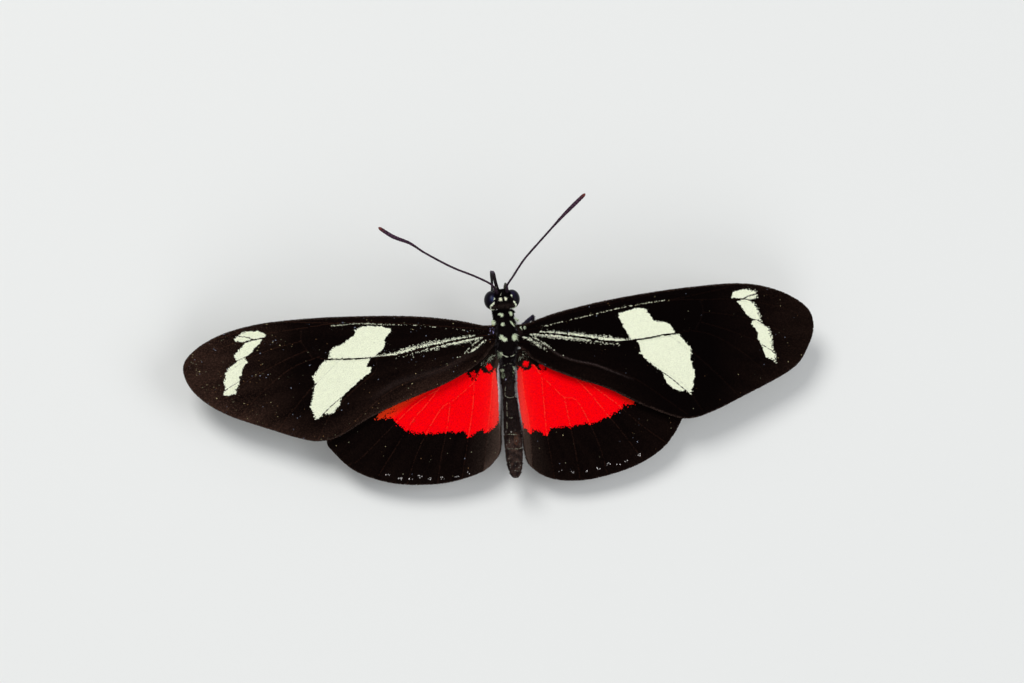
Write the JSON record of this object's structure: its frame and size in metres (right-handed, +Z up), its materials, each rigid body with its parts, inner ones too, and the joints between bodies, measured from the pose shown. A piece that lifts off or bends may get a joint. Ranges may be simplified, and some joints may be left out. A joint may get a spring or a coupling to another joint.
{
  "type": "ricini longwing butterfly",
  "caption": "Life-size still longwing butterfly standing with wings spread flat, feelers forward and tongue let down, black with cream bands and red hindwing patches.",
  "frame": {"origin": "centre of the model's box, on the floor that its feet stand on", "axes": "+X to the butterfly's right along its wingspan, +Y towards the head, +Z up"},
  "size_m": [0.066, 0.0272, 0.0156],
  "materials": {
    "wing_scales": "velvety black scales with cream bands and a red hindwing patch",
    "body_scales": "black scales and down with small cream spots",
    "eye": "glossy blue-black facets",
    "feeler": "satin dark purple-brown",
    "leg": "satin black-brown"
  },
  "bodies": {
    "root": {"head": "body_scales", "thorax": "body_scales", "abdomen": "body_scales", "eye_left": "eye", "eye_right": "eye", "palp_left": "body_scales", "palp_right": "body_scales", "antenna_left": "feeler", "antenna_right": "feeler", "proboscis": "feeler", "forewing_left": "wing_scales", "forewing_right": "wing_scales", "hindwing_left": "wing_scales", "hindwing_right": "wing_scales", "leg_fore_left": "leg", "leg_fore_right": "leg", "leg_mid_left": "leg", "leg_mid_right": "leg", "leg_hind_left": "leg", "leg_hind_right": "leg"}
  },
  "joints": []
}
